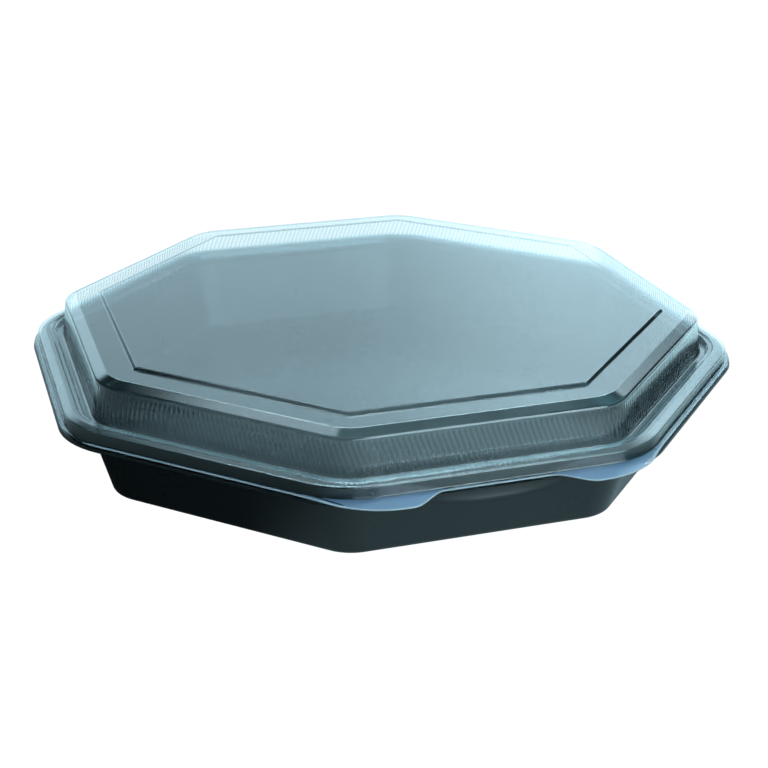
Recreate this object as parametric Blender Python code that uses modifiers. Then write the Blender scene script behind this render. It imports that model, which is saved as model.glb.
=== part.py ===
"""An octagonal takeaway tray of black plastic with its clear domed lid, closed.

The tray stands on its flat underside with the middle of that underside at the origin.
The side with the finger recess and the two lifting tabs faces -Y.
All sizes are in metres.
"""

import math

import bmesh
import bpy
from mathutils import Vector

MM = 0.001

# Driving dimensions
SIDES = 8
WALL = 0.6 * MM

# Sections from the middle outwards, in millimetres:
# half width across flats, radius of the corners seen from above, height of the upper surface
LID_SECTION = {
    "panel": (104.8, 1.5, 48.9),
    "panel edge": (105.3, 1.5, 48.65),
    "panel riser foot": (106.2, 3.0, 47.95),
    "plateau inner edge": (106.8, 3.0, 47.85),
    "plateau outer edge": (115.3, 15.0, 47.85),
    "chamfer top": (116.1, 15.0, 47.65),
    "chamfer foot": (119.95, 20.0, 45.95),
    "dome wall top": (120.45, 20.0, 45.35),
    "dome wall foot": (121.9, 21.5, 32.0),
    "channel inner edge": (122.4, 22.0, 31.5),
    "channel outer edge": (124.0, 23.5, 31.5),
    "rim wall foot": (124.5, 24.0, 32.0),
    "rim wall top": (125.4, 25.0, 33.85),
    "rim inner edge": (126.0, 25.0, 34.25),
    "rim outer edge": (131.6, 32.6, 34.15),
    "skirt top": (132.1, 32.7, 33.65),
    "skirt foot": (132.3, 32.7, 30.15),
    "fold": (132.6, 32.8, 29.75),
}
LIP_SECTION = {
    "lip": (133.5, 34.0, 29.65),
    "lip edge": (134.0, 34.5, 29.35),
}
TRAY_FLOOR_SECTION = {
    "floor edge": (114.2, 14.5, 0.6),
    "floor fillet": (115.2, 15.5, 1.05),
}
TRAY_WALL_FOOT = (115.7, 16.0, 2.1)
TRAY_WALL_TOP = (123.4, 22.0, 28.9)
TRAY_RIM_SECTION = {
    "ledge inner edge": (125.2, 24.0, 29.6),
    "rim wall foot": (125.8, 25.0, 30.5),
    "rim wall top": (126.5, 25.5, 32.8),
    "rim inner edge": (127.0, 26.0, 33.2),
    "rim outer edge": (130.5, 31.6, 33.1),
    "skirt top": (131.0, 31.7, 32.6),
    "skirt foot": (131.2, 31.8, 28.9),
    "fold": (131.6, 32.2, 28.5),
    "flange": (133.8, 34.0, 28.4),
    "flange edge top": (134.3, 34.5, 28.0),
    "flange edge foot": (134.4, 34.5, 27.3),
}

# Lifting tabs at both ends of the front side of the lid
TAB_REACH = 8.4 * MM
TAB_START = 19.0 * MM
TAB_FULL = 33.0 * MM
TAB_CORNER = 33.0 * MM
TAB_CORNER_CENTRE = 34.6 * MM

# Finger recess in the front wall of the tray
RECESS_CENTRE = 5.0 * MM
RECESS_HALF_WIDTH = 34.0 * MM
RECESS_TOP = 27.0 * MM
RECESS_BOTTOM = 16.0 * MM
RECESS_DEPTH = 3.2 * MM
RECESS_ABOVE = 1.1 * MM
FRONT_WALL = -95.0 * MM

# Fineness of the outlines
CORNER_STEPS = 6
FRONT_STEPS = 28
WALL_ROWS = 8
SHARP_ANGLE = math.radians(30.0)

# Colours and finish of the two sheets
BLACK = (0.012, 0.015, 0.016)
BLACK_ROUGHNESS = 0.22
CLEAR = (0.62, 0.72, 0.76)
CLEAR_ROUGHNESS = 0.08
CLEAR_TRANSMISSION = 0.8

HALF_STEP = math.pi / SIDES
FRONT_SIDE = 0


def clear_scene():
    for obj in list(bpy.data.objects):
        bpy.data.objects.remove(obj, do_unlink=True)


def new_collection(name):
    collection = bpy.data.collections.new(name)
    bpy.context.scene.collection.children.link(collection)
    return collection


def plastic(name, colour, roughness, transmission=0.0):
    material = bpy.data.materials.new(name)
    material.use_nodes = True
    shader = material.node_tree.nodes["Principled BSDF"]
    shader.inputs["Base Color"].default_value = (*colour, 1.0)
    shader.inputs["Roughness"].default_value = roughness
    shader.inputs["Metallic"].default_value = 0.0
    shader.inputs["Transmission Weight"].default_value = transmission
    material.diffuse_color = (*colour, 1.0)
    return material


def smoothstep(value):
    value = min(max(value, 0.0), 1.0)
    return value * value * (3.0 - 2.0 * value)


def facing(side):
    """The angle that one side faces, seen from above; the front side faces -Y."""
    return -math.pi / 2.0 + 2.0 * HALF_STEP * side


def corner_arc(centre, radius, side, height):
    """Points round the corner between one side and the next, counter-clockwise."""
    points = []
    for step in range(CORNER_STEPS + 1):
        angle = facing(side) + 2.0 * HALF_STEP * step / CORNER_STEPS
        offset = Vector((math.cos(angle), math.sin(angle), 0.0)) * radius
        points.append(Vector((centre.x, centre.y, height)) + offset)
    return points


def front_row(half_length, reach, height):
    """Points along the front side between its two corners; reach(x) is the distance out."""
    points = []
    for step in range(1, FRONT_STEPS):
        x = half_length * (2.0 * step / FRONT_STEPS - 1.0)
        points.append(Vector((x, -reach(x), height)))
    return points


def ring(half_width, radius, height):
    """One closed outline: a regular octagon with round corners."""
    half_length = (half_width - radius) * math.tan(HALF_STEP)
    points = front_row(half_length, lambda x: half_width, height)
    for side in range(SIDES):
        outward = Vector((math.cos(facing(side)), math.sin(facing(side)), 0.0))
        along = Vector((-outward.y, outward.x, 0.0))
        centre = outward * (half_width - radius) + along * half_length
        points += corner_arc(centre, radius, side, height)
    return points


def tabbed_ring(half_width, radius, height, edge_half_width):
    """The lip's outline, which swells into a lifting tab at both ends of the front side."""
    full_reach = half_width + TAB_REACH
    tab_corner = TAB_CORNER - (edge_half_width - half_width)

    def reach(x):
        swell = smoothstep((abs(x) - TAB_START) / (TAB_FULL - TAB_START))
        return half_width + TAB_REACH * swell

    plain = ring(half_width, radius, height)
    front = front_row(TAB_CORNER_CENTRE, reach, height)
    right_centre = Vector((TAB_CORNER_CENTRE, tab_corner - full_reach, 0.0))
    right = corner_arc(right_centre, tab_corner, FRONT_SIDE, height)
    left_centre = Vector((-TAB_CORNER_CENTRE, tab_corner - full_reach, 0.0))
    left = corner_arc(left_centre, tab_corner, SIDES - 1, height)
    kept = plain[len(front) + len(right):len(plain) - len(left)]
    return front + right + kept + left


def metres(row):
    return [value * MM for value in row]


def between(low, high, share):
    return [start + (end - start) * share for start, end in zip(low, high)]


def recess(point):
    """How far the finger recess pushes this point of the front wall inwards."""
    across = (point.x - RECESS_CENTRE) / RECESS_HALF_WIDTH
    down = (RECESS_TOP - point.z) / (RECESS_TOP - RECESS_BOTTOM)
    if point.y > FRONT_WALL or point.z > RECESS_TOP + RECESS_ABOVE:
        return 0.0
    return RECESS_DEPTH * max(0.0, 1.0 - across * across - down * down)


def loft(rings):
    """An open surface through outlines with the same number of points, the first one closed."""
    mesh = bmesh.new()
    rows = [[mesh.verts.new(point) for point in outline] for outline in rings]
    count = len(rows[0])
    mesh.faces.new(rows[0])
    for inner, outer in zip(rows, rows[1:]):
        for index in range(count):
            following = (index + 1) % count
            mesh.faces.new((inner[index], outer[index], outer[following], inner[following]))
    bmesh.ops.recalc_face_normals(mesh, faces=mesh.faces)
    middle = max(mesh.faces, key=lambda face: len(face.verts))
    if middle.normal.z < 0.0:
        bmesh.ops.reverse_faces(mesh, faces=mesh.faces)
    return mesh


def shell(name, rings, material, collection):
    """A thin-walled piece whose upper surface passes through the outlines."""
    mesh = loft(rings)
    data = bpy.data.meshes.new(name)
    mesh.to_mesh(data)
    mesh.free()
    data.materials.append(material)
    data.shade_smooth()
    data.set_sharp_from_angle(angle=SHARP_ANGLE)
    obj = bpy.data.objects.new(name, data)
    collection.objects.link(obj)
    thickness = obj.modifiers.new("Wall", "SOLIDIFY")
    thickness.thickness = WALL
    thickness.offset = -1.0
    thickness.use_even_offset = True
    thickness.use_rim = True


def build_lid(collection):
    rings = [ring(*metres(row)) for row in LID_SECTION.values()]
    edge_half_width = LIP_SECTION["lip edge"][0] * MM
    for row in LIP_SECTION.values():
        rings.append(tabbed_ring(*metres(row), edge_half_width))
    clear = plastic("clear_plastic", CLEAR, CLEAR_ROUGHNESS, CLEAR_TRANSMISSION)
    shell("lid", rings, clear, collection)


def build_tray(collection):
    rows = list(TRAY_FLOOR_SECTION.values())
    for step in range(WALL_ROWS + 1):
        rows.append(between(TRAY_WALL_FOOT, TRAY_WALL_TOP, step / WALL_ROWS))
    rows += TRAY_RIM_SECTION.values()
    rings = [ring(*metres(row)) for row in rows]
    for outline in rings:
        for point in outline:
            point.y += recess(point)
    black = plastic("black_plastic", BLACK, BLACK_ROUGHNESS)
    shell("tray", rings, black, collection)


def main():
    clear_scene()
    collection = new_collection("takeaway_tray")
    build_tray(collection)
    build_lid(collection)


main()
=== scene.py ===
"""Dresses the octagonal takeaway tray and its clear domed lid, and sets the studio round them."""

import math
from typing import NamedTuple

import bmesh
import bpy
import numpy as np
from mathutils import Matrix, Vector


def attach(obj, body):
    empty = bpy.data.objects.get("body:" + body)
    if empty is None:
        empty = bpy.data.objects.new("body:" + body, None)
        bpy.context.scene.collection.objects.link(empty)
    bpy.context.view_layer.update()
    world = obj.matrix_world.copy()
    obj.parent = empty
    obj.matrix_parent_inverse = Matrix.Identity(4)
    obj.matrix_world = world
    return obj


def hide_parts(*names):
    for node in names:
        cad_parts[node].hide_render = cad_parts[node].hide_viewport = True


bl_info = {
    "name": "Octagonal Takeaway Tray",
    "version": (1, 0, 0),
    "blender": (4, 5, 0),
    "location": "View3D > Sidebar > Takeaway tray",
    "description": "Builds a black octagonal takeaway tray with a clear domed lid",
    "category": "Add Mesh",
}

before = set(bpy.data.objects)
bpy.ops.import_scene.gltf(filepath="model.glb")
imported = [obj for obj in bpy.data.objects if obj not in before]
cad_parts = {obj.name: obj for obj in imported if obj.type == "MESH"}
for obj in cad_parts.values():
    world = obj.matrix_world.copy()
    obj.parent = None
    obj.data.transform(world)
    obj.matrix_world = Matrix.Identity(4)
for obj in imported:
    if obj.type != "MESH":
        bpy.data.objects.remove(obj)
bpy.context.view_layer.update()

MM = 0.001
SIDES = 8
HALF_STEP = math.pi / SIDES
FRONT_SIDE = 0

# Steps of an outline: a side is its straight run, then the corner to the next side
STRAIGHT_STEPS = 252
CORNER_STEPS = 48
SIDE_STEPS = STRAIGHT_STEPS + CORNER_STEPS
OUTLINE_STEPS = SIDES * SIDE_STEPS
RIB_STEPS = 6

# Sections from the middle outwards, in millimetres:
# half width across flats, corner radius seen from above, height of the upper surface, and
# fillet; the lip's rows end with how much they belong to its edge
LID_TOP = (
    (103.0, 1.5, 48.9, 0.0),
    (105.15, 1.5, 48.9, 0.65),
    (106.45, 2.6, 47.85, 0.7),
    (115.95, 15.0, 47.85, 1.3),
    (120.3, 20.0, 45.8, 1.3),
)
LID_RIM = (
    (122.0, 21.6, 31.5, 0.9),
    (124.3, 23.6, 31.5, 0.7),
    (125.35, 24.7, 33.7, 0.3),
    (126.75, 26.2, 33.7, 0.3),
    (127.2, 26.8, 34.27, 0.35),
    (128.9, 28.8, 34.27, 1.6),
    (132.1, 32.6, 33.68, 0.75),
    (132.4, 32.7, 29.67, 0.55),
)
LID_LIP = (
    ((133.2, 33.8, 29.65), 0.0),
    ((133.5, 34.1, 29.62), 0.35),
    ((133.8, 34.3, 29.55), 1.0),
    ((133.95, 34.5, 29.43), 1.0),
    ((134.0, 34.5, 29.27), 1.0),
)
TRAY_SECTION = (
    (112.0, 12.6, 0.5, 0.0),
    (115.5, 15.8, 0.5, 1.7),
    (123.55, 22.0, 29.5, 0.6),
    (125.5, 24.6, 29.5, 0.6),
    (126.65, 25.7, 33.1, 0.6),
    (131.0, 31.6, 33.1, 0.6),
    (131.25, 31.8, 28.45, 0.5),
    (134.3, 34.5, 28.4, 0.55),
    (134.4, 34.5, 27.3, 0.0),
)
FILLET_STEPS = 5
SUPPORT = 0.25


class TrayFinish(bpy.types.PropertyGroup):
    """Sizes and colours of the black tray"""

    wall: bpy.props.FloatProperty(
        name="Wall",
        description="Thickness of the black sheet",
        default=0.5 * MM,
        min=0.2 * MM,
        max=1.0 * MM,
        unit="LENGTH",
    )
    colour: bpy.props.FloatVectorProperty(
        name="Colour",
        description="Colour of the black sheet",
        subtype="COLOR",
        size=3,
        min=0.0,
        max=1.0,
        default=(0.006, 0.009, 0.0095),
    )
    roughness: bpy.props.FloatProperty(
        name="Roughness",
        description="Mean roughness of the black sheet",
        default=0.3,
        min=0.0,
        max=1.0,
        subtype="FACTOR",
    )
    recess_depth: bpy.props.FloatProperty(
        name="Finger recess depth",
        description="How far the finger recess goes into the front wall",
        default=3.2 * MM,
        min=0.0,
        max=5.0 * MM,
        unit="LENGTH",
    )


class LidFinish(bpy.types.PropertyGroup):
    """Sizes and colours of the clear lid"""

    wall: bpy.props.FloatProperty(
        name="Wall",
        description="Thickness of the clear sheet",
        default=0.4 * MM,
        min=0.2 * MM,
        max=0.6 * MM,
        unit="LENGTH",
    )
    colour: bpy.props.FloatVectorProperty(
        name="Colour",
        description="Tint of the clear sheet",
        subtype="COLOR",
        size=3,
        min=0.0,
        max=1.0,
        default=(0.9, 0.975, 0.985),
    )
    roughness: bpy.props.FloatProperty(
        name="Roughness",
        description="Mean roughness of the clear sheet",
        default=0.045,
        min=0.0,
        max=1.0,
        subtype="FACTOR",
    )
    lip_colour: bpy.props.FloatVectorProperty(
        name="Lip colour",
        description="Milky colour of the lip and its tabs, where the sheet is crimped",
        subtype="COLOR",
        size=3,
        min=0.0,
        max=1.0,
        default=(0.42, 0.6, 0.84),
    )
    rib_depth: bpy.props.FloatProperty(
        name="Rib depth",
        description="Depth of the fine ribs in the dome's wall",
        default=0.25 * MM,
        min=0.0,
        max=0.35 * MM,
        unit="LENGTH",
    )
    rib_lean: bpy.props.IntProperty(
        name="Rib lean",
        description="Outline steps by which each rib leans from the shoulder to the foot",
        default=13,
        min=0,
        max=60,
    )
    tab_reach: bpy.props.FloatProperty(
        name="Tab reach",
        description="How far the two lifting tabs stand out of the lip",
        default=8.4 * MM,
        min=0.0,
        max=8.4 * MM,
        unit="LENGTH",
    )


class StageSettings(bpy.types.PropertyGroup):
    """Floor, light and camera"""

    floor_colour: bpy.props.FloatVectorProperty(
        name="Floor colour",
        description="Colour of the plain floor",
        subtype="COLOR",
        size=3,
        min=0.0,
        max=1.0,
        default=(0.82, 0.83, 0.84),
    )
    light: bpy.props.FloatProperty(
        name="Light",
        description="Strength of the studio light",
        default=1.0,
        min=0.0,
        max=10.0,
    )
    lens: bpy.props.FloatProperty(
        name="Lens",
        description="Focal length of the camera",
        default=70.83,
        min=20.0,
        max=200.0,
        subtype="DISTANCE_CAMERA",
    )


class TakeawayTray(bpy.types.PropertyGroup):
    """Everything that can be changed on the tray, its lid and the studio"""

    tray: bpy.props.PointerProperty(type=TrayFinish, name="Tray")
    lid: bpy.props.PointerProperty(type=LidFinish, name="Lid")
    stage: bpy.props.PointerProperty(type=StageSettings, name="Stage")


# Outlines and sections


def smoothstep(value):
    value = min(max(value, 0.0), 1.0)
    return value * value * (3.0 - 2.0 * value)


def facing(side):
    """The angle that one side faces, seen from above; the front side faces -Y."""
    return -math.pi / 2.0 + 2.0 * HALF_STEP * side


def toward(angle):
    return Vector((math.cos(angle), math.sin(angle), 0.0))


def outline_point(step, half_width, corner, height):
    """A point of a regular octagon with round corners, counted in steps from the front side."""
    step %= OUTLINE_STEPS
    side = int(step // SIDE_STEPS)
    within = step - side * SIDE_STEPS
    outward = toward(facing(side))
    sideways = Vector((-outward.y, outward.x, 0.0))
    half_length = (half_width - corner) * math.tan(HALF_STEP)
    if within <= STRAIGHT_STEPS:
        share = 2.0 * within / STRAIGHT_STEPS - 1.0
        point = outward * half_width + sideways * (half_length * share)
    else:
        turn = 2.0 * HALF_STEP * (within - STRAIGHT_STEPS) / CORNER_STEPS
        centre = outward * (half_width - corner) + sideways * half_length
        point = centre + toward(facing(side) + turn) * corner
    point.z = height
    return point


# Lifting tabs at both ends of the front side, in metres
TAB_START = 19.0 * MM
TAB_FULL = 33.0 * MM
TAB_CORNER = 33.0 * MM
TAB_CENTRE = 34.6 * MM
LIP_HALF = 134.0 * MM


def tabbed_point(step, half_width, corner, height, tab_reach):
    """A point of the lip, which swells into a lifting tab at both ends of the front side."""
    step %= OUTLINE_STEPS
    side = int(step // SIDE_STEPS)
    within = step - side * SIDE_STEPS
    full_reach = half_width + tab_reach
    tab_corner = TAB_CORNER - (LIP_HALF - half_width)
    if side == FRONT_SIDE and within <= STRAIGHT_STEPS:
        x = TAB_CENTRE * (2.0 * within / STRAIGHT_STEPS - 1.0)
        swell = smoothstep((abs(x) - TAB_START) / (TAB_FULL - TAB_START))
        return Vector((x, -half_width - tab_reach * swell, height))
    if side in (FRONT_SIDE, SIDES - 1) and within > STRAIGHT_STEPS:
        sign = 1.0 if side == FRONT_SIDE else -1.0
        turn = 2.0 * HALF_STEP * (within - STRAIGHT_STEPS) / CORNER_STEPS
        centre = Vector((sign * TAB_CENTRE, tab_corner - full_reach, height))
        return centre + toward(facing(side) + turn) * tab_corner
    return outline_point(step, half_width, corner, height)


def rounded_section(points):
    """Rows of a section whose bends have fillets, with a supporting row beside each fillet."""
    points = [np.array(point, float) for point in points]
    rows = [points[0][:3]]
    for before, here, after in zip(points, points[1:], points[2:]):
        plane = [0, 2]
        back = (before - here)[plane]
        ahead = (after - here)[plane]
        back_length = np.linalg.norm(back)
        ahead_length = np.linalg.norm(ahead)
        bend = math.pi - math.acos(np.clip(back @ ahead / back_length / ahead_length, -1.0, 1.0))
        setback = min(here[3] * math.tan(bend / 2.0), 0.45 * back_length, 0.45 * ahead_length)
        start = here[:3] + (before - here)[:3] * (setback / back_length)
        end = here[:3] + (after - here)[:3] * (setback / ahead_length)
        if back_length > 6.0 * SUPPORT:
            rows.append(start + (before - here)[:3] * (SUPPORT / back_length))
        for step in range(FILLET_STEPS + 1):
            share = step / FILLET_STEPS
            weights = (1.0 - share) ** 2, 2.0 * share * (1.0 - share), share**2
            rows.append(weights[0] * start + weights[1] * here[:3] + weights[2] * end)
        if ahead_length > 6.0 * SUPPORT:
            rows.append(end + (after - here)[:3] * (SUPPORT / ahead_length))
    rows.append(points[-1][:3])
    return rows


def coarse_steps(straight_stride, corner_stride):
    """The outline steps that a plainer row keeps."""
    kept = []
    for side in range(SIDES):
        start = side * SIDE_STEPS
        kept += range(start, start + STRAIGHT_STEPS, straight_stride)
        kept += range(start + STRAIGHT_STEPS, start + SIDE_STEPS, corner_stride)
    return kept


class Surface:
    """An open surface of rows of points from the middle outwards."""

    def __init__(self):
        self.mesh = bmesh.new()
        self.phase = self.mesh.verts.layers.float.new("rib_phase")
        self.reach = self.mesh.verts.layers.float.new("rib_reach")
        self.rim = self.mesh.verts.layers.float.new("lip_edge")
        self.last = None
        self.last_steps = None

    def add_row(self, steps, place, lean=0, reach=0.0, edge=0.0):
        """Adds a row of vertices at the given steps and joins it to the row before."""
        row = {}
        for step in steps:
            vertex = self.mesh.verts.new(place((step + lean) % OUTLINE_STEPS))
            vertex[self.phase] = step / RIB_STEPS
            vertex[self.reach] = reach
            vertex[self.rim] = edge
            row[(step + lean) % OUTLINE_STEPS] = vertex
        if self.last is None:
            self.mesh.faces.new([row[step] for step in sorted(row)])
        else:
            self.join(self.last, row, lean)
        self.last = row

    def join(self, inner, outer, lean):
        """Faces between two rows; the plainer one's edges take all the steps of the other."""
        if len(inner) == len(outer) and set(inner) != set(outer):
            shift = lean - self.lean_before
            keys = sorted(inner)
            for key, following in zip(keys, keys[1:] + keys[:1]):
                a, b = inner[key], inner[following]
                c = outer[(following + shift) % OUTLINE_STEPS]
                d = outer[(key + shift) % OUTLINE_STEPS]
                self.mesh.faces.new((a, d, c, b))
        else:
            coarse = sorted(inner if len(inner) <= len(outer) else outer)
            for key, following in zip(coarse, coarse[1:] + coarse[:1]):
                span = (following - key) % OUTLINE_STEPS
                steps = [(key + offset) % OUTLINE_STEPS for offset in range(span + 1)]
                low = [inner[step] for step in steps if step in inner]
                high = [outer[step] for step in steps if step in outer]
                self.mesh.faces.new(high + low[::-1])
        self.lean_before = lean

    def finish(self, name):
        bmesh.ops.recalc_face_normals(self.mesh, faces=self.mesh.faces)
        middle = max(self.mesh.faces, key=lambda face: len(face.verts))
        if middle.normal.z < 0.0:
            bmesh.ops.reverse_faces(self.mesh, faces=self.mesh.faces)
        data = bpy.data.meshes.new(name)
        self.mesh.to_mesh(data)
        self.mesh.free()
        data.shade_smooth()
        obj = bpy.data.objects.new(name, data)
        bpy.context.scene.collection.objects.link(obj)
        return obj


def baked(obj):
    """Turns the evaluated object into a plain mesh and takes its modifiers away."""
    depsgraph = bpy.context.evaluated_depsgraph_get()
    made = bpy.data.meshes.new_from_object(obj.evaluated_get(depsgraph), depsgraph=depsgraph)
    obj.modifiers.clear()
    obj.data = made
    made.shade_smooth()
    return obj


def thicken(obj, thickness):
    modifier = obj.modifiers.new("Sheet", "SOLIDIFY")
    modifier.thickness = thickness
    modifier.offset = -1.0
    modifier.use_even_offset = True
    modifier.use_rim = True


# Finishes


def link(tree, source, target):
    tree.links.new(source, target)


def new_material(name):
    material = bpy.data.materials.new(name)
    material.use_nodes = True
    tree = material.node_tree
    shader = tree.nodes["Principled BSDF"]
    return material, tree, shader


def new_group(name, inputs, outputs):
    """A shader node group with named value sockets."""
    group = bpy.data.node_groups.new(name, "ShaderNodeTree")
    for label, default in inputs:
        socket = group.interface.new_socket(
            name=label, in_out="INPUT", socket_type="NodeSocketFloat"
        )
        socket.default_value = default
    for label in outputs:
        group.interface.new_socket(name=label, in_out="OUTPUT", socket_type="NodeSocketFloat")
    source = group.nodes.new("NodeGroupInput")
    sink = group.nodes.new("NodeGroupOutput")
    return group, source, sink


def make_sheet_group():
    """Slow swells and fine orange peel of a thermoformed sheet, and its patchy gloss."""
    group, source, sink = new_group(
        "Formed sheet",
        [("Swell scale", 14.0), ("Peel scale", 260.0), ("Smoothest", 0.05), ("Roughest", 0.1)],
        ["Swell", "Peel", "Roughness"],
    )
    coordinates = group.nodes.new("ShaderNodeTexCoord")
    swell = group.nodes.new("ShaderNodeTexNoise")
    swell.inputs["Detail"].default_value = 2.0
    peel = group.nodes.new("ShaderNodeTexNoise")
    peel.inputs["Detail"].default_value = 3.0
    patches = group.nodes.new("ShaderNodeTexNoise")
    patches.inputs["Scale"].default_value = 30.0
    patches.inputs["Detail"].default_value = 4.0
    spread = group.nodes.new("ShaderNodeMapRange")
    spread.inputs["From Min"].default_value = 0.3
    spread.inputs["From Max"].default_value = 0.7
    for noise in (swell, peel, patches):
        link(group, coordinates.outputs["Object"], noise.inputs["Vector"])
    link(group, source.outputs["Swell scale"], swell.inputs["Scale"])
    link(group, source.outputs["Peel scale"], peel.inputs["Scale"])
    link(group, patches.outputs["Fac"], spread.inputs["Value"])
    link(group, source.outputs["Smoothest"], spread.inputs["To Min"])
    link(group, source.outputs["Roughest"], spread.inputs["To Max"])
    link(group, swell.outputs["Fac"], sink.inputs["Swell"])
    link(group, peel.outputs["Fac"], sink.inputs["Peel"])
    link(group, spread.outputs["Result"], sink.inputs["Roughness"])
    return group


def sheet_group():
    return bpy.data.node_groups.get("Formed sheet") or make_sheet_group()


def add_sheet_surface(tree, shader, smoothest, roughest, swell_height, peel_height):
    """Gives a sheet its patchy gloss, slow swells and fine peel."""
    sheet = tree.nodes.new("ShaderNodeGroup")
    sheet.node_tree = sheet_group()
    sheet.inputs["Smoothest"].default_value = smoothest
    sheet.inputs["Roughest"].default_value = roughest
    link(tree, sheet.outputs["Roughness"], shader.inputs["Roughness"])
    swells = tree.nodes.new("ShaderNodeBump")
    swells.inputs["Distance"].default_value = swell_height
    link(tree, sheet.outputs["Swell"], swells.inputs["Height"])
    peel = tree.nodes.new("ShaderNodeBump")
    peel.inputs["Distance"].default_value = peel_height
    link(tree, sheet.outputs["Peel"], peel.inputs["Height"])
    link(tree, swells.outputs["Normal"], peel.inputs["Normal"])
    link(tree, peel.outputs["Normal"], shader.inputs["Normal"])


def black_sheet(settings):
    material, tree, shader = new_material("black_plastic")
    shader.inputs["Base Color"].default_value = (*settings.colour, 1.0)
    shader.inputs["Metallic"].default_value = 0.0
    shader.inputs["IOR"].default_value = 1.5
    rough = settings.roughness
    add_sheet_surface(tree, shader, 0.8 * rough, 1.2 * rough, 0.1 * MM, 0.001 * MM)
    material.diffuse_color = (*settings.colour, 1.0)
    return material


def make_groove_shade_group():
    """How deep in a rib's groove a point of the dome's wall lies; this depth paints shade into the
    grooves as a greyer tint.
    """
    group, source, sink = new_group("Rib groove shade", [("Sharpness", 1.6)], ["Groove"])
    phase = group.nodes.new("ShaderNodeAttribute")
    phase.attribute_name = "rib_phase"
    reach = group.nodes.new("ShaderNodeAttribute")
    reach.attribute_name = "rib_reach"
    angle = group.nodes.new("ShaderNodeMath")
    angle.operation = "MULTIPLY"
    angle.inputs[1].default_value = 2.0 * math.pi
    wave = group.nodes.new("ShaderNodeMath")
    wave.operation = "COSINE"
    depth = group.nodes.new("ShaderNodeMapRange")
    depth.inputs["From Min"].default_value = -1.0
    depth.inputs["From Max"].default_value = 1.0
    sharp = group.nodes.new("ShaderNodeMath")
    sharp.operation = "POWER"
    kept = group.nodes.new("ShaderNodeMath")
    kept.operation = "MULTIPLY"
    link(group, phase.outputs["Fac"], angle.inputs[0])
    link(group, angle.outputs[0], wave.inputs[0])
    link(group, wave.outputs[0], depth.inputs["Value"])
    link(group, depth.outputs["Result"], sharp.inputs[0])
    link(group, source.outputs["Sharpness"], sharp.inputs[1])
    link(group, sharp.outputs[0], kept.inputs[0])
    link(group, reach.outputs["Fac"], kept.inputs[1])
    link(group, kept.outputs[0], sink.inputs["Groove"])
    return group


# Painted shade: the clear sheet turns greyer and darker deep in the rib grooves, so the grooves show
# as dark lines.
GROOVE_SHADE_COLOUR = (0.68, 0.74, 0.77, 1.0)


def clear_sheet(settings):
    material, tree, shader = new_material("clear_plastic")
    groove = tree.nodes.new("ShaderNodeGroup")
    groove.node_tree = make_groove_shade_group()
    # Painted shade in the rib grooves: the sheet's tint turns to the groove shade colour where a
    # groove is deep.
    tint = tree.nodes.new("ShaderNodeMix")
    tint.data_type = "RGBA"
    tint.inputs["A"].default_value = (*settings.colour, 1.0)
    tint.inputs["B"].default_value = GROOVE_SHADE_COLOUR
    link(tree, groove.outputs["Groove"], tint.inputs["Factor"])
    link(tree, tint.outputs["Result"], shader.inputs["Base Color"])
    shader.inputs["Metallic"].default_value = 0.0
    shader.inputs["IOR"].default_value = 1.52
    shader.inputs["Transmission Weight"].default_value = 1.0
    rough = settings.roughness
    add_sheet_surface(tree, shader, 0.85 * rough, 1.15 * rough, 0.03 * MM, 0.0001 * MM)
    material.diffuse_color = (*settings.colour, 0.3)
    return material


LIP_EDGE_COLOUR = (0.9, 0.97, 1.0, 1.0)


def milky_sheet(settings):
    material, tree, shader = new_material("clear_plastic_lip")
    shader.inputs["Metallic"].default_value = 0.0
    shader.inputs["IOR"].default_value = 1.52
    shader.inputs["Transmission Weight"].default_value = 0.6
    edge = tree.nodes.new("ShaderNodeAttribute")
    edge.attribute_name = "lip_edge"
    tint = tree.nodes.new("ShaderNodeMix")
    tint.data_type = "RGBA"
    tint.inputs["A"].default_value = (*settings.lip_colour, 1.0)
    tint.inputs["B"].default_value = LIP_EDGE_COLOUR
    link(tree, edge.outputs["Fac"], tint.inputs["Factor"])
    link(tree, tint.outputs["Result"], shader.inputs["Base Color"])
    add_sheet_surface(tree, shader, 0.14, 0.24, 0.05 * MM, 0.001 * MM)
    material.diffuse_color = (*settings.lip_colour, 0.6)
    return material


# Pieces

WALL_ROWS = 32
RECESS_CENTRE = 5.0 * MM
RECESS_HALF_WIDTH = 34.0 * MM
RECESS_TOP = 27.0 * MM
RECESS_BOTTOM = 16.0 * MM
RECESS_ABOVE = 1.1 * MM
FRONT_WALL = -95.0 * MM


def recessed(point, depth):
    """The point of the front wall, pushed in where the finger recess is."""
    across = (point.x - RECESS_CENTRE) / RECESS_HALF_WIDTH
    down = (RECESS_TOP - point.z) / (RECESS_TOP - RECESS_BOTTOM)
    if point.y < FRONT_WALL and point.z < RECESS_TOP + RECESS_ABOVE:
        point.y += depth * max(0.0, 1.0 - across * across - down * down)
    return point


def outline_place(row):
    half_width, corner, height = (value * MM for value in row)
    return lambda step: outline_point(step, half_width, corner, height)


def tab_place(row, tab_reach):
    half_width, corner, height = (value * MM for value in row)
    return lambda step: tabbed_point(step, half_width, corner, height, tab_reach)


def build_tray(settings):
    surface = Surface()
    steps = coarse_steps(6, 6)
    rows = rounded_section(TRAY_SECTION)
    tall = max(range(len(rows) - 1), key=lambda index: rows[index + 1][2] - rows[index][2])
    low, high = rows[tall], rows[tall + 1]
    wall = [low + (high - low) * (index / WALL_ROWS) for index in range(1, WALL_ROWS)]
    for row in rows[: tall + 1] + wall + rows[tall + 1 :]:
        place = outline_place(row)
        surface.add_row(steps, lambda step: recessed(place(step), settings.recess_depth))
    tray = surface.finish("black_tray")
    thicken(tray, settings.wall)
    baked(tray)
    tray.data.materials.append(black_sheet(settings))
    return tray


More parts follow.
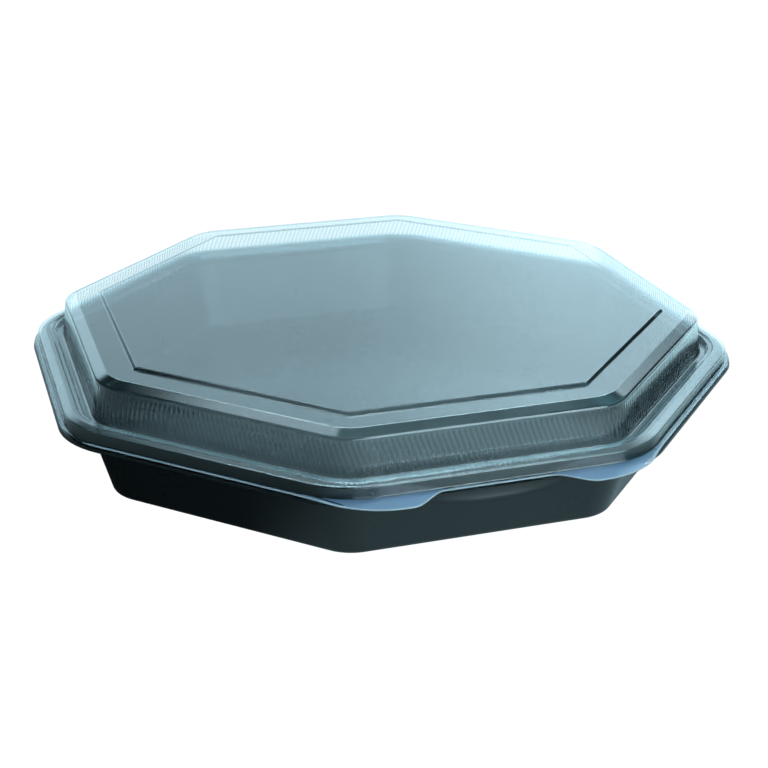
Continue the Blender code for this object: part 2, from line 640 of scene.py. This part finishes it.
def make_rib_tree():
    """Presses ribs into the outer face of a sheet, where its vertices say how deep and where."""
    tree = bpy.data.node_groups.new("Dome ribs", "GeometryNodeTree")
    interface = tree.interface
    interface.new_socket(name="Geometry", in_out="INPUT", socket_type="NodeSocketGeometry")
    depth = interface.new_socket(name="Rib depth", in_out="INPUT", socket_type="NodeSocketFloat")
    depth.subtype = "DISTANCE"
    interface.new_socket(name="Material", in_out="INPUT", socket_type="NodeSocketMaterial")
    interface.new_socket(name="Geometry", in_out="OUTPUT", socket_type="NodeSocketGeometry")
    nodes = tree.nodes
    source = nodes.new("NodeGroupInput")
    sink = nodes.new("NodeGroupOutput")
    phase = nodes.new("GeometryNodeInputNamedAttribute")
    phase.data_type = "FLOAT"
    phase.inputs["Name"].default_value = "rib_phase"
    reach = nodes.new("GeometryNodeInputNamedAttribute")
    reach.data_type = "FLOAT"
    reach.inputs["Name"].default_value = "rib_reach"
    angle = nodes.new("ShaderNodeMath")
    angle.operation = "MULTIPLY"
    angle.inputs[1].default_value = 2.0 * math.pi
    wave = nodes.new("ShaderNodeMath")
    wave.operation = "COSINE"
    groove = nodes.new("ShaderNodeMapRange")
    groove.inputs["From Min"].default_value = -1.0
    groove.inputs["From Max"].default_value = 1.0
    groove.inputs["To Min"].default_value = -1.0
    groove.inputs["To Max"].default_value = 0.0
    masked = nodes.new("ShaderNodeMath")
    masked.operation = "MULTIPLY"
    deep = nodes.new("ShaderNodeMath")
    deep.operation = "MULTIPLY"
    normal = nodes.new("GeometryNodeInputNormal")
    place = nodes.new("GeometryNodeInputPosition")
    outward = nodes.new("ShaderNodeVectorMath")
    outward.operation = "DOT_PRODUCT"
    outer = nodes.new("ShaderNodeMath")
    outer.operation = "GREATER_THAN"
    outer.inputs[1].default_value = 0.0
    kept = nodes.new("ShaderNodeMath")
    kept.operation = "MULTIPLY"
    offset = nodes.new("ShaderNodeVectorMath")
    offset.operation = "SCALE"
    move = nodes.new("GeometryNodeSetPosition")
    realize = nodes.new("GeometryNodeRealizeInstances")
    paint = nodes.new("GeometryNodeSetMaterial")
    link(tree, phase.outputs["Attribute"], angle.inputs[0])
    link(tree, angle.outputs[0], wave.inputs[0])
    link(tree, wave.outputs[0], groove.inputs["Value"])
    link(tree, groove.outputs["Result"], masked.inputs[0])
    link(tree, reach.outputs["Attribute"], masked.inputs[1])
    link(tree, masked.outputs[0], deep.inputs[0])
    link(tree, source.outputs["Rib depth"], deep.inputs[1])
    link(tree, normal.outputs["Normal"], offset.inputs[0])
    link(tree, normal.outputs["Normal"], outward.inputs[0])
    link(tree, place.outputs["Position"], outward.inputs[1])
    link(tree, outward.outputs["Value"], outer.inputs[0])
    link(tree, deep.outputs[0], kept.inputs[0])
    link(tree, outer.outputs[0], kept.inputs[1])
    link(tree, kept.outputs[0], offset.inputs["Scale"])
    link(tree, source.outputs["Geometry"], move.inputs["Geometry"])
    link(tree, offset.outputs["Vector"], move.inputs["Offset"])
    link(tree, move.outputs["Geometry"], realize.inputs["Geometry"])
    link(tree, realize.outputs["Geometry"], paint.inputs["Geometry"])
    link(tree, source.outputs["Material"], paint.inputs["Material"])
    link(tree, paint.outputs["Geometry"], sink.inputs["Geometry"])
    return tree


def set_input(modifier, name, value):
    for item in modifier.node_group.interface.items_tree:
        if item.item_type == "SOCKET" and item.in_out == "INPUT" and item.name == name:
            modifier[item.identifier] = value
            return
    raise KeyError(name)


LIP_START = 133.2 * MM


def half_width_of(point):
    """Distance of a point from the middle, measured square to the nearest side."""
    return max(point.dot(toward(facing(side))) for side in range(SIDES))


WALL_SHARES = ((0.05, 0.35), (0.1, 1.0), (0.4, 1.0), (0.7, 1.0), (0.88, 0.8), (0.95, 0.3))


def build_lid(settings):
    surface = Surface()
    plain = coarse_steps(12, 6)
    lip = coarse_steps(3, 3)
    fine = list(range(OUTLINE_STEPS))
    section = rounded_section(LID_TOP + LID_RIM + ((133.1, 33.6, 29.65, 0.0),))
    tall = max(range(len(section) - 1), key=lambda index: section[index][2] - section[index + 1][2])
    low, high = section[tall], section[tall + 1]
    for row in section[:tall]:
        surface.add_row(plain, outline_place(row))
    surface.add_row(fine, outline_place(low))
    for share, reach in WALL_SHARES:
        lean = round(settings.rib_lean * share)
        surface.add_row(fine, outline_place(low + (high - low) * share), lean, reach)
    surface.add_row(fine, outline_place(high), settings.rib_lean)
    for row in section[tall + 2 : -1]:
        surface.add_row(plain, outline_place(row))
    for row, edge in LID_LIP:
        surface.add_row(lip, tab_place(row, settings.tab_reach), edge=edge)
    lid = surface.finish("clear_lid")
    thicken(lid, settings.wall)
    ribs = lid.modifiers.new("Ribs", "NODES")
    ribs.node_group = make_rib_tree()
    set_input(ribs, "Rib depth", settings.rib_depth)
    set_input(ribs, "Material", clear_sheet(settings))
    baked(lid)
    lid.data.materials.append(milky_sheet(settings))
    for face in lid.data.polygons:
        if half_width_of(face.center) > LIP_START:
            face.material_index = 1
    return lid


# Stage

CAMERA_AZIMUTH = -0.31458
CAMERA_ELEVATION = 0.39673
CAMERA_ROLL = 0.0043
CAMERA_DISTANCE = 0.105 * 5.8392
CAMERA_ASIDE = 0.105 * 0.0252
CAMERA_UP = 0.105 * -0.3281
LID_TOP_HEIGHT = 0.0489


def add_camera(settings):
    azimuth, elevation = CAMERA_AZIMUTH, CAMERA_ELEVATION
    back = Vector(
        (
            math.sin(azimuth) * math.cos(elevation),
            -math.cos(azimuth) * math.cos(elevation),
            math.sin(elevation),
        )
    )
    level = Vector((math.cos(azimuth), math.sin(azimuth), 0.0))
    upright = back.cross(level)
    right = level * math.cos(CAMERA_ROLL) + upright * math.sin(CAMERA_ROLL)
    up = upright * math.cos(CAMERA_ROLL) - level * math.sin(CAMERA_ROLL)
    data = bpy.data.cameras.new("camera")
    data.lens = settings.lens
    data.sensor_width = 36.0
    camera = bpy.data.objects.new("camera", data)
    bpy.context.scene.collection.objects.link(camera)
    place = Vector((0.0, 0.0, LID_TOP_HEIGHT))
    place += right * CAMERA_ASIDE + up * CAMERA_UP + back * CAMERA_DISTANCE
    turned = Matrix((right, up, back)).transposed().to_4x4()
    camera.matrix_world = Matrix.Translation(place) @ turned
    bpy.context.scene.camera = camera
    return camera


# Bounces that a straight view stays under; looking up the background counts as one more
SURFACE_LIMIT = 0.5
BACKGROUND_LIMIT = 1.5


def straight_view(tree, limit):
    """One for a view that has only passed through clear sheet, nothing for a reflection."""
    paths = tree.nodes.new("ShaderNodeLightPath")
    bounces = tree.nodes.new("ShaderNodeMath")
    bounces.operation = "SUBTRACT"
    straight = tree.nodes.new("ShaderNodeMath")
    straight.operation = "LESS_THAN"
    straight.inputs[1].default_value = limit
    link(tree, paths.outputs["Ray Depth"], bounces.inputs[0])
    link(tree, paths.outputs["Transmission Depth"], bounces.inputs[1])
    link(tree, bounces.outputs[0], straight.inputs[0])
    return straight.outputs[0]


# What the floor shows in a reflection: the turn from +X in degrees, then how bright it is close
# to the tray, in the tray's shade and further out; the photographed floor darkens to the left
FLOOR_REACH = 0.6
FLOOR_HALF_WIDTH = 3.0
FLOOR_WHITENESS = 0.96
CLOSE, SHADED, OPEN = 0.14, 0.19, 0.33
FLOOR_TINT = (0.66, 1.0, 1.1)
FLOOR_LEVELS = (
    (15.0, 0.75, 0.8, 1.4),
    (60.0, 0.5, 0.6, 1.0),
    (120.0, 0.6, 0.7, 0.9),
    (190.0, 0.02, 0.1, 0.35),
    (225.0, 0.05, 0.1, 0.3),
    (255.0, 0.55, 0.4, 0.6),
    (280.0, 0.58, 0.8, 1.05),
    (305.0, 0.45, 0.2, 1.2),
    (335.0, 0.9, 0.4, 1.3),
)
WHITE = 1.06


def shade_of(tint, level):
    return tuple(part * level for part in tint)


def floor_light(tree):
    """The colour that the floor shows in a reflection."""
    coordinates = tree.nodes.new("ShaderNodeTexCoord")
    turn, _parts = full_turn(tree, coordinates.outputs["Object"])
    distance = tree.nodes.new("ShaderNodeVectorMath")
    distance.operation = "LENGTH"
    share = tree.nodes.new("ShaderNodeMath")
    share.operation = "DIVIDE"
    share.inputs[1].default_value = FLOOR_REACH
    link(tree, coordinates.outputs["Object"], distance.inputs[0])
    link(tree, distance.outputs["Value"], share.inputs[0])
    sectors = []
    for angle, *levels in FLOOR_LEVELS:
        places = (place / FLOOR_REACH for place in (CLOSE, SHADED, OPEN))
        colours = (shade_of(FLOOR_TINT, level) for level in levels)
        sectors.append((angle, list(zip(places, colours))))
    return turn_blend(tree, turn, sectors, share.outputs[0])


def add_floor(settings):
    data = bpy.data.meshes.new("floor")
    reach = FLOOR_HALF_WIDTH
    corners = [(-reach, -reach, 0.0), (reach, -reach, 0.0), (reach, reach, 0.0), (-reach, reach, 0.0)]
    data.from_pydata(corners, [], [(0, 1, 2, 3)])
    floor = bpy.data.objects.new("floor", data)
    bpy.context.scene.collection.objects.link(floor)
    material, tree, shader = new_material("pale_floor")
    shader.inputs["Base Color"].default_value = (*settings.floor_colour, 1.0)
    shader.inputs["Roughness"].default_value = 0.9
    shader.inputs["Specular IOR Level"].default_value = 0.1
    bright = tree.nodes.new("ShaderNodeEmission")
    bright.inputs["Strength"].default_value = WHITE
    shown = tree.nodes.new("ShaderNodeMixShader")
    shown.inputs["Fac"].default_value = FLOOR_WHITENESS
    tone = tree.nodes.new("ShaderNodeEmission")
    link(tree, floor_light(tree), tone.inputs["Color"])
    mix = tree.nodes.new("ShaderNodeMixShader")
    link(tree, shader.outputs["BSDF"], shown.inputs[1])
    link(tree, bright.outputs["Emission"], shown.inputs[2])
    link(tree, straight_view(tree, SURFACE_LIMIT), mix.inputs["Fac"])
    link(tree, tone.outputs["Emission"], mix.inputs[1])
    link(tree, shown.outputs["Shader"], mix.inputs[2])
    link(tree, mix.outputs["Shader"], tree.nodes["Material Output"].inputs["Surface"])
    material.cycles.emission_sampling = "NONE"
    data.materials.append(material)
    return floor


class SoftBox(NamedTuple):
    """A soft box round the tray; angles in degrees, the turn from +X, heights from the horizon."""

    turn: float
    half_width: float
    lowest: float
    highest: float
    blur: float
    colour: tuple


COOL = (0.76, 1.0, 1.12)
BLUE = (0.7, 1.0, 1.15)
TEAL = (0.3, 0.9, 1.1)
SURROUND = (0.04, 0.08, 0.09)
SOFT_BOXES = {
    "back window": SoftBox(70.0, 38.0, -5.0, 30.0, 7.0, shade_of(BLUE, 0.92)),
    "brighter right part of it": SoftBox(56.0, 13.0, -5.0, 33.0, 12.0, shade_of(BLUE, 0.75)),
    "brighter left part of it": SoftBox(100.0, 10.0, 12.0, 29.0, 14.0, shade_of(BLUE, 0.75)),
    "window over it": SoftBox(65.0, 13.0, 28.0, 34.0, 5.0, shade_of(COOL, 0.8)),
    "board on the right": SoftBox(43.0, 9.0, 27.0, 38.0, 6.0, shade_of(COOL, 1.5)),
    "board at the back": SoftBox(64.0, 28.0, 38.0, 60.0, 6.0, shade_of(COOL, 0.65)),
    "strip light": SoftBox(76.0, 26.0, 49.5, 55.0, 2.5, shade_of(COOL, 10.0)),
    "high board": SoftBox(74.0, 20.0, 58.0, 68.0, 6.0, shade_of(COOL, 1.0)),
    "high board on the left": SoftBox(108.0, 12.0, 56.0, 71.0, 5.0, shade_of(COOL, 2.3)),
    "teal wall": SoftBox(356.0, 34.0, 26.0, 62.0, 10.0, shade_of(TEAL, 0.8)),
    "front box": SoftBox(299.0, 17.0, -5.0, 54.0, 8.0, shade_of(COOL, 4.8)),
    "low front light": SoftBox(268.0, 12.0, -5.0, 11.0, 5.0, shade_of(COOL, 4.0)),
    "ceiling": SoftBox(0.0, 200.0, 64.0, 100.0, 10.0, shade_of(TEAL, 0.15)),
}


def edge_share(tree, value, edge, blur, rising):
    """A share that rises to one over the blur round an edge, or falls from one."""
    share = tree.nodes.new("ShaderNodeMapRange")
    share.interpolation_type = "SMOOTHSTEP"
    share.inputs["From Min"].default_value = math.radians(edge - blur / 2.0)
    share.inputs["From Max"].default_value = math.radians(edge + blur / 2.0)
    share.inputs["To Min"].default_value = 0.0 if rising else 1.0
    share.inputs["To Max"].default_value = 1.0 if rising else 0.0
    link(tree, value, share.inputs["Value"])
    return share.outputs["Result"]


def arithmetic(tree, operation, *values):
    node = tree.nodes.new("ShaderNodeMath")
    node.operation = operation
    for socket, value in zip(node.inputs, values):
        if isinstance(value, float):
            socket.default_value = value
        else:
            link(tree, value, socket)
    return node.outputs[0]


def box_light(tree, turn, height, box):
    """The colour that one soft box adds."""
    aside = arithmetic(tree, "SUBTRACT", turn, math.radians(box.turn))
    aside = arithmetic(tree, "ABSOLUTE", arithmetic(tree, "WRAP", aside, math.pi, -math.pi))
    across = edge_share(tree, aside, box.half_width, box.blur, False)
    above = edge_share(tree, height, box.lowest, box.blur, True)
    below = edge_share(tree, height, box.highest, box.blur, False)
    mask = arithmetic(tree, "MULTIPLY", arithmetic(tree, "MULTIPLY", across, above), below)
    colour = tree.nodes.new("ShaderNodeVectorMath")
    colour.operation = "SCALE"
    colour.inputs[0].default_value = box.colour
    link(tree, mask, colour.inputs["Scale"])
    return colour.outputs[0]


def studio_light(tree, turn, height):
    """The surround with every soft box added."""
    total = None
    for box in SOFT_BOXES.values():
        added = tree.nodes.new("ShaderNodeVectorMath")
        if total is None:
            added.inputs[0].default_value = SURROUND
        else:
            link(tree, total, added.inputs[0])
        link(tree, box_light(tree, turn, height, box), added.inputs[1])
        total = added.outputs[0]
    return total


def colour_ramp(tree, stops):
    """A ramp of colours over stops of (share, colour)."""
    ramp = tree.nodes.new("ShaderNodeValToRGB")
    elements = ramp.color_ramp.elements
    elements[0].position, elements[1].position = stops[0][0], stops[-1][0]
    elements[0].color, elements[1].color = (*stops[0][1], 1.0), (*stops[-1][1], 1.0)
    for share, colour in stops[1:-1]:
        elements.new(share).color = (*colour, 1.0)
    return ramp


def turn_blend(tree, turn, stops_by_turn, across):
    """Blends ramps over a full turn; each stands at its own turn, and the first closes it."""
    blended = None
    before = None
    closing = (stops_by_turn[0][0] + 360.0, stops_by_turn[0][1])
    for angle, stops in (*stops_by_turn, closing):
        ramp = colour_ramp(tree, stops)
        link(tree, across, ramp.inputs["Fac"])
        if blended is None:
            blended = ramp.outputs["Color"]
        else:
            share = tree.nodes.new("ShaderNodeMapRange")
            share.interpolation_type = "SMOOTHSTEP"
            share.inputs["From Min"].default_value = math.radians(before)
            share.inputs["From Max"].default_value = math.radians(angle)
            link(tree, turn, share.inputs["Value"])
            mix = tree.nodes.new("ShaderNodeMix")
            mix.data_type = "RGBA"
            link(tree, share.outputs["Result"], mix.inputs["Factor"])
            link(tree, blended, mix.inputs["A"])
            link(tree, ramp.outputs["Color"], mix.inputs["B"])
            blended = mix.outputs["Result"]
        before = angle
    return blended


def full_turn(tree, vector):
    """The turn of a vector from +X, from none to a full turn, and its parts."""
    parts = tree.nodes.new("ShaderNodeSeparateXYZ")
    turn = tree.nodes.new("ShaderNodeMath")
    turn.operation = "ARCTAN2"
    whole = tree.nodes.new("ShaderNodeMath")
    whole.operation = "WRAP"
    whole.inputs[1].default_value = 2.0 * math.pi
    whole.inputs[2].default_value = 0.0
    link(tree, vector, parts.inputs[0])
    link(tree, parts.outputs["Y"], turn.inputs[0])
    link(tree, parts.outputs["X"], turn.inputs[1])
    link(tree, turn.outputs[0], whole.inputs[0])
    return whole.outputs[0], parts


def add_world(settings):
    world = bpy.data.worlds.new("studio")
    world.use_nodes = True
    world.cycles.sampling_method = "NONE"
    bpy.context.scene.world = world
    tree = world.node_tree
    tree.nodes.clear()
    output = tree.nodes.new("ShaderNodeOutputWorld")
    coordinates = tree.nodes.new("ShaderNodeTexCoord")
    turn, parts = full_turn(tree, coordinates.outputs["Generated"])
    height = tree.nodes.new("ShaderNodeMath")
    height.operation = "ARCSINE"
    link(tree, parts.outputs["Z"], height.inputs[0])
    studio = tree.nodes.new("ShaderNodeBackground")
    studio.inputs["Strength"].default_value = settings.light
    link(tree, studio_light(tree, turn, height.outputs[0]), studio.inputs["Color"])
    white = tree.nodes.new("ShaderNodeBackground")
    white.inputs["Color"].default_value = (1.0, 1.0, 1.0, 1.0)
    white.inputs["Strength"].default_value = WHITE
    mix = tree.nodes.new("ShaderNodeMixShader")
    link(tree, straight_view(tree, BACKGROUND_LIMIT), mix.inputs["Fac"])
    link(tree, studio.outputs["Background"], mix.inputs[1])
    link(tree, white.outputs["Background"], mix.inputs[2])
    link(tree, mix.outputs["Shader"], output.inputs["Surface"])


class TAKEAWAY_OT_tray(bpy.types.Operator):
    """Build the black tray in place of the plain one"""

    bl_idname = "takeaway.build_tray"
    bl_label = "Build tray"

    def execute(self, context):
        tray = build_tray(context.scene.takeaway_tray.tray)
        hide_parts("tray")
        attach(tray, "root")
        return {"FINISHED"}


class TAKEAWAY_OT_lid(bpy.types.Operator):
    """Build the clear ribbed lid in place of the plain one"""

    bl_idname = "takeaway.build_lid"
    bl_label = "Build lid"

    def execute(self, context):
        lid = build_lid(context.scene.takeaway_tray.lid)
        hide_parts("lid")
        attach(lid, "root")
        return {"FINISHED"}


class TAKEAWAY_OT_stage(bpy.types.Operator):
    """Set up the floor, the studio light and the camera"""

    bl_idname = "takeaway.set_stage"
    bl_label = "Set stage"

    def execute(self, context):
        settings = context.scene.takeaway_tray.stage
        add_floor(settings)
        add_world(settings)
        add_camera(settings)
        context.scene.view_settings.view_transform = "Standard"
        return {"FINISHED"}


class TAKEAWAY_PT_panel(bpy.types.Panel):
    """Lists the pieces and their sizes"""

    bl_idname = "TAKEAWAY_PT_panel"
    bl_label = "Takeaway tray"
    bl_space_type = "VIEW_3D"
    bl_region_type = "UI"
    bl_category = "Takeaway tray"

    def draw(self, context):
        settings = context.scene.takeaway_tray
        groups = (
            (settings.tray, TAKEAWAY_OT_tray),
            (settings.lid, TAKEAWAY_OT_lid),
            (settings.stage, TAKEAWAY_OT_stage),
        )
        for group, operator in groups:
            box = self.layout.box()
            for name in group.__annotations__:
                box.prop(group, name)
            box.operator(operator.bl_idname)


CLASSES = (
    TrayFinish,
    LidFinish,
    StageSettings,
    TakeawayTray,
    TAKEAWAY_OT_tray,
    TAKEAWAY_OT_lid,
    TAKEAWAY_OT_stage,
    TAKEAWAY_PT_panel,
)


def register():
    for cls in CLASSES:
        bpy.utils.register_class(cls)
    bpy.types.Scene.takeaway_tray = bpy.props.PointerProperty(type=TakeawayTray)


def unregister():
    del bpy.types.Scene.takeaway_tray
    for cls in reversed(CLASSES):
        bpy.utils.unregister_class(cls)


def main():
    register()
    bpy.ops.takeaway.build_tray()
    bpy.ops.takeaway.build_lid()
    bpy.ops.takeaway.set_stage()
    bpy.context.view_layer.update()


if __name__ == "__main__":
    main()
